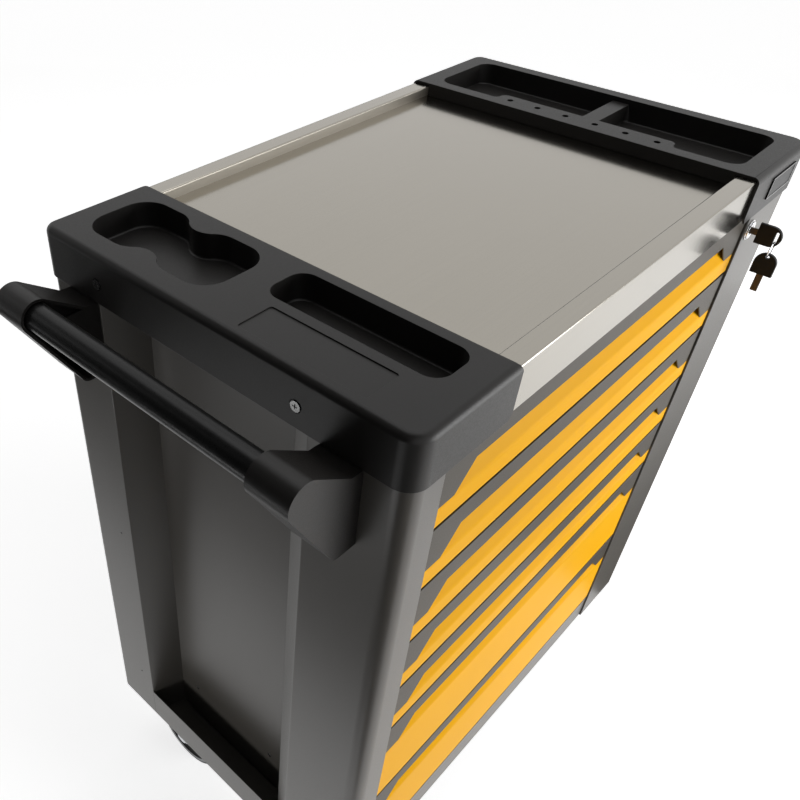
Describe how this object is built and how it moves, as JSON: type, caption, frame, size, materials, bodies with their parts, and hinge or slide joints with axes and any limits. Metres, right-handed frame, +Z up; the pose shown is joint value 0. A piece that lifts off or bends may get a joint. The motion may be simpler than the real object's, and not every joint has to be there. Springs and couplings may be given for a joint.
{
  "type": "rolling tool cabinet",
  "caption": "Rolling steel tool cabinet: drawers on telescopic slides, stainless worktop between moulded caps with wells, side push handle, keyed lock and braked casters.",
  "frame": {"origin": "on the floor, below the middle of the object's own box", "axes": "+X along the front to the right as seen from the front, +Y to the back, +Z up"},
  "size_m": [0.8513, 0.5028, 0.9595],
  "materials": {
    "powder_coat": "satin",
    "yellow_paint": "satin",
    "box_grey": "satin",
    "stainless": "brushed",
    "cap_plastic": "satin",
    "plate_black": "gloss",
    "handle_black": "satin",
    "screw_black": "satin",
    "zinc": "zinc plated",
    "chrome": "polished",
    "lock_metal": "plug, cam and blade of the key, with a black moulded bow",
    "key_black": "satin",
    "tyre": "matte"
  },
  "bodies": {
    "cabinet": {"left_side_panel": "powder_coat", "right_side_panel": "powder_coat", "front_left_post": "powder_coat", "front_right_post": "powder_coat", "back_panel": "powder_coat", "base_pan": "powder_coat", "top_rails": "powder_coat", "side_ledges": "powder_coat", "worktop": "stainless", "left_cap": "cap_plastic", "right_cap": "cap_plastic", "cap_screws": "screw_black", "nameplate": "plate_black", "handle_bar": "handle_black", "handle_brackets": "cap_plastic", "handle_screws": "zinc", "slide_channels": "zinc", "lock_barrel": "chrome", "caster_plates": "zinc", "fixed_forks": "zinc"},
    "drawer_1": {"drawer_1_box": "box_grey", "drawer_1_front": "yellow_paint", "drawer_1_grip": "powder_coat"},
    "slides_1": {"drawer_1_slides": "zinc"},
    "drawer_2": {"drawer_2_box": "box_grey", "drawer_2_front": "yellow_paint", "drawer_2_grip": "powder_coat"},
    "slides_2": {"drawer_2_slides": "zinc"},
    "drawer_3": {"drawer_3_box": "box_grey", "drawer_3_front": "yellow_paint", "drawer_3_grip": "powder_coat"},
    "slides_3": {"drawer_3_slides": "zinc"},
    "drawer_4": {"drawer_4_box": "box_grey", "drawer_4_front": "yellow_paint", "drawer_4_grip": "powder_coat"},
    "slides_4": {"drawer_4_slides": "zinc"},
    "drawer_5": {"drawer_5_box": "box_grey", "drawer_5_front": "yellow_paint", "drawer_5_grip": "powder_coat"},
    "slides_5": {"drawer_5_slides": "zinc"},
    "drawer_6": {"drawer_6_box": "box_grey", "drawer_6_front": "yellow_paint", "drawer_6_grip": "powder_coat"},
    "slides_6": {"drawer_6_slides": "zinc"},
    "drawer_7": {"drawer_7_box": "box_grey", "drawer_7_front": "yellow_paint", "drawer_7_grip": "powder_coat"},
    "slides_7": {"drawer_7_slides": "zinc"},
    "key": {"key": "lock_metal"},
    "key_ring": {"key_ring": "chrome"},
    "spare_key": {"spare_key": "key_black"},
    "lock_bar": {"lock_bar": "zinc"},
    "swivel_front": {"swivel_fork_front": "zinc"},
    "wheel_front_left": {"wheel_front_left": "tyre"},
    "brake_front": {"brake_front": "cap_plastic"},
    "swivel_rear": {"swivel_fork_rear": "zinc"},
    "wheel_rear_left": {"wheel_rear_left": "tyre"},
    "brake_rear": {"brake_rear": "cap_plastic"},
    "wheel_front_right": {"wheel_front_right": "tyre"},
    "wheel_rear_right": {"wheel_rear_right": "tyre"}
  },
  "joints": [
    {"name": "drawer_1_slide", "type": "slide", "parent": "cabinet", "child": "drawer_1", "axis": [0, -1, 0], "range_m": [0, 0.38]},
    {"name": "slides_1_run", "type": "slide", "parent": "cabinet", "child": "slides_1", "axis": [0, -1, 0], "range_m": [0, 0.19]},
    {"name": "drawer_2_slide", "type": "slide", "parent": "cabinet", "child": "drawer_2", "axis": [0, -1, 0], "range_m": [0, 0.38]},
    {"name": "slides_2_run", "type": "slide", "parent": "cabinet", "child": "slides_2", "axis": [0, -1, 0], "range_m": [0, 0.19]},
    {"name": "drawer_3_slide", "type": "slide", "parent": "cabinet", "child": "drawer_3", "axis": [0, -1, 0], "range_m": [0, 0.38]},
    {"name": "slides_3_run", "type": "slide", "parent": "cabinet", "child": "slides_3", "axis": [0, -1, 0], "range_m": [0, 0.19]},
    {"name": "drawer_4_slide", "type": "slide", "parent": "cabinet", "child": "drawer_4", "axis": [0, -1, 0], "range_m": [0, 0.38]},
    {"name": "slides_4_run", "type": "slide", "parent": "cabinet", "child": "slides_4", "axis": [0, -1, 0], "range_m": [0, 0.19]},
    {"name": "drawer_5_slide", "type": "slide", "parent": "cabinet", "child": "drawer_5", "axis": [0, -1, 0], "range_m": [0, 0.38]},
    {"name": "slides_5_run", "type": "slide", "parent": "cabinet", "child": "slides_5", "axis": [0, -1, 0], "range_m": [0, 0.19]},
    {"name": "drawer_6_slide", "type": "slide", "parent": "cabinet", "child": "drawer_6", "axis": [0, -1, 0], "range_m": [0, 0.38]},
    {"name": "slides_6_run", "type": "slide", "parent": "cabinet", "child": "slides_6", "axis": [0, -1, 0], "range_m": [0, 0.19]},
    {"name": "drawer_7_slide", "type": "slide", "parent": "cabinet", "child": "drawer_7", "axis": [0, -1, 0], "range_m": [0, 0.38]},
    {"name": "slides_7_run", "type": "slide", "parent": "cabinet", "child": "slides_7", "axis": [0, -1, 0], "range_m": [0, 0.19]},
    {"name": "key_turn", "type": "hinge", "parent": "cabinet", "child": "key", "pos_m": [0.31825, -0.20808, 0.8815], "axis": [0, -1, 0], "range_deg": [0, 90.5]},
    {"name": "lock_bar_drop", "type": "slide", "parent": "cabinet", "child": "lock_bar", "axis": [0, 0, -1], "range_m": [0, 0.01202]},
    {"name": "key_ring_hang", "type": "hinge", "parent": "key", "child": "key_ring", "pos_m": [0.31825, -0.23913, 0.87248], "axis": [0, -1, 0], "range_deg": [-91, 0]},
    {"name": "spare_key_swing", "type": "hinge", "parent": "key_ring", "child": "spare_key", "pos_m": [0.31825, -0.23913, 0.85869], "axis": [1, 0, 0], "range_deg": [-30, 30]},
    {"name": "swivel_front_turn", "type": "hinge", "parent": "cabinet", "child": "swivel_front", "pos_m": [-0.28525, -0.14608, 0.152], "axis": [0, 0, 1], "continuous": true},
    {"name": "wheel_front_left_roll", "type": "hinge", "parent": "swivel_front", "child": "wheel_front_left", "pos_m": [-0.28525, -0.10808, 0.0625], "axis": [1, 0, 0], "continuous": true},
    {"name": "brake_front_press", "type": "hinge", "parent": "swivel_front", "child": "brake_front", "pos_m": [-0.28525, -0.07708, 0.126], "axis": [-1, 0, 0], "range_deg": [0, 12]},
    {"name": "swivel_rear_turn", "type": "hinge", "parent": "cabinet", "child": "swivel_rear", "pos_m": [-0.28525, 0.18693, 0.152], "axis": [0, 0, 1], "continuous": true},
    {"name": "wheel_rear_left_roll", "type": "hinge", "parent": "swivel_rear", "child": "wheel_rear_left", "pos_m": [-0.28525, 0.14893, 0.0625], "axis": [1, 0, 0], "continuous": true},
    {"name": "brake_rear_press", "type": "hinge", "parent": "swivel_rear", "child": "brake_rear", "pos_m": [-0.28525, 0.11793, 0.126], "axis": [1, 0, 0], "range_deg": [0, 12]},
    {"name": "wheel_front_right_roll", "type": "hinge", "parent": "cabinet", "child": "wheel_front_right", "pos_m": [0.31775, -0.16007, 0.0625], "axis": [0, 1, 0], "continuous": true},
    {"name": "wheel_rear_right_roll", "type": "hinge", "parent": "cabinet", "child": "wheel_rear_right", "pos_m": [0.31775, 0.20092, 0.0625], "axis": [0, 1, 0], "continuous": true}
  ],
  "couplings": [
    {"joint": "slides_1_run", "follows": "drawer_1_slide", "ratio": 0.5},
    {"joint": "slides_2_run", "follows": "drawer_2_slide", "ratio": 0.5},
    {"joint": "slides_3_run", "follows": "drawer_3_slide", "ratio": 0.5},
    {"joint": "slides_4_run", "follows": "drawer_4_slide", "ratio": 0.5},
    {"joint": "slides_5_run", "follows": "drawer_5_slide", "ratio": 0.5},
    {"joint": "slides_6_run", "follows": "drawer_6_slide", "ratio": 0.5},
    {"joint": "slides_7_run", "follows": "drawer_7_slide", "ratio": 0.5},
    {"joint": "key_turn", "follows": "lock_bar_drop", "rad_per_m": 130.67},
    {"joint": "key_ring_hang", "follows": "lock_bar_drop", "rad_per_m": -130.67}
  ]
}
